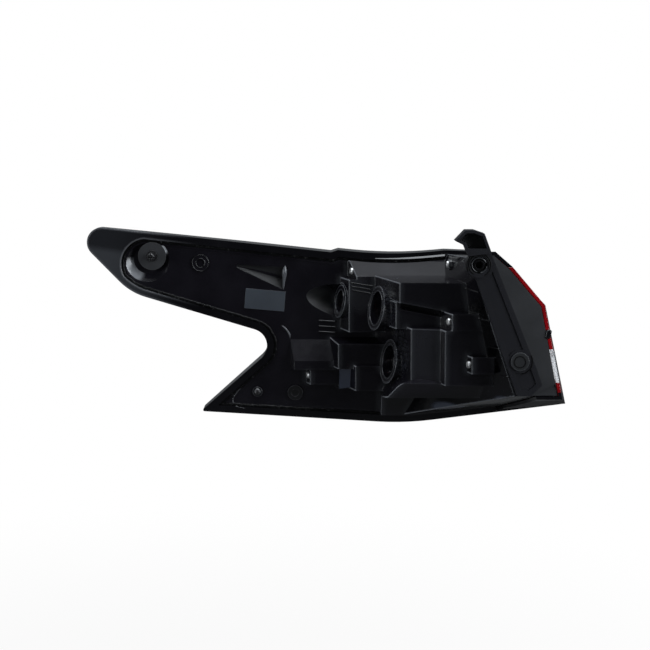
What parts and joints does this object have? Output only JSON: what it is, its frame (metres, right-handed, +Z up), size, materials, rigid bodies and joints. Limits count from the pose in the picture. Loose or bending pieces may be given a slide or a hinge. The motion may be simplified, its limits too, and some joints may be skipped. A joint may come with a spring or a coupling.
{
  "type": "tail light cluster",
  "caption": "Forked wrap-round tail light cluster with a stepped back housing, open bulb holes, a red and clear lens, a locating pin and an end bracket that fix it to a car's rear corner.",
  "frame": {"origin": "axis of the arm's locating pin where it leaves its washer, in the plane of the rim's back face", "axes": "+X rearward along the lamp, +Y outboard towards the lens face, +Z up; the pin points along -Y"},
  "size_m": [0.4784, 0.171, 0.2044],
  "materials": {
    "black_gloss": "gloss black moulding, light scuffs",
    "border_black": "polished black edge",
    "red_lens": "clear red, polished",
    "clear_lens": "clear, fluted inside",
    "sealant": "rough black sealant",
    "bracket_grey": "grained dark grey",
    "black_rubber": "matte",
    "plug_grey": "smooth dark grey",
    "pin_black": "satin black",
    "foam_grey": "soft grey foam",
    "zinc_steel": "zinc plated",
    "screw_black": "black coated",
    "label_grey": "blank grey film",
    "reflector_silver": "metallised",
    "bezel_dark": "smoked dark",
    "blade_clear": "clear bar",
    "reflex_red": "prismatic red"
  },
  "bodies": {
    "root": {"housing": "black_gloss", "lens_border": "border_black", "lens_red": "red_lens", "lens_clear": "clear_lens", "sealant_bead": "sealant", "end_bracket": "bracket_grey", "bracket_sleeve": "screw_black", "bracket_grommet": "black_rubber", "bracket_plug": "plug_grey", "locating_pin": "pin_black", "pin_washer": "foam_grey", "reflector_screws": "zinc_steel", "tray_screw": "screw_black", "vent_cap": "pin_black", "label": "label_grey", "reflector_side": "reflector_silver", "reflector_upper": "reflector_silver", "reflector_lower": "reflector_silver", "inner_bezel": "bezel_dark", "light_blade": "blade_clear", "reflex_reflector": "reflex_red"}
  },
  "joints": []
}
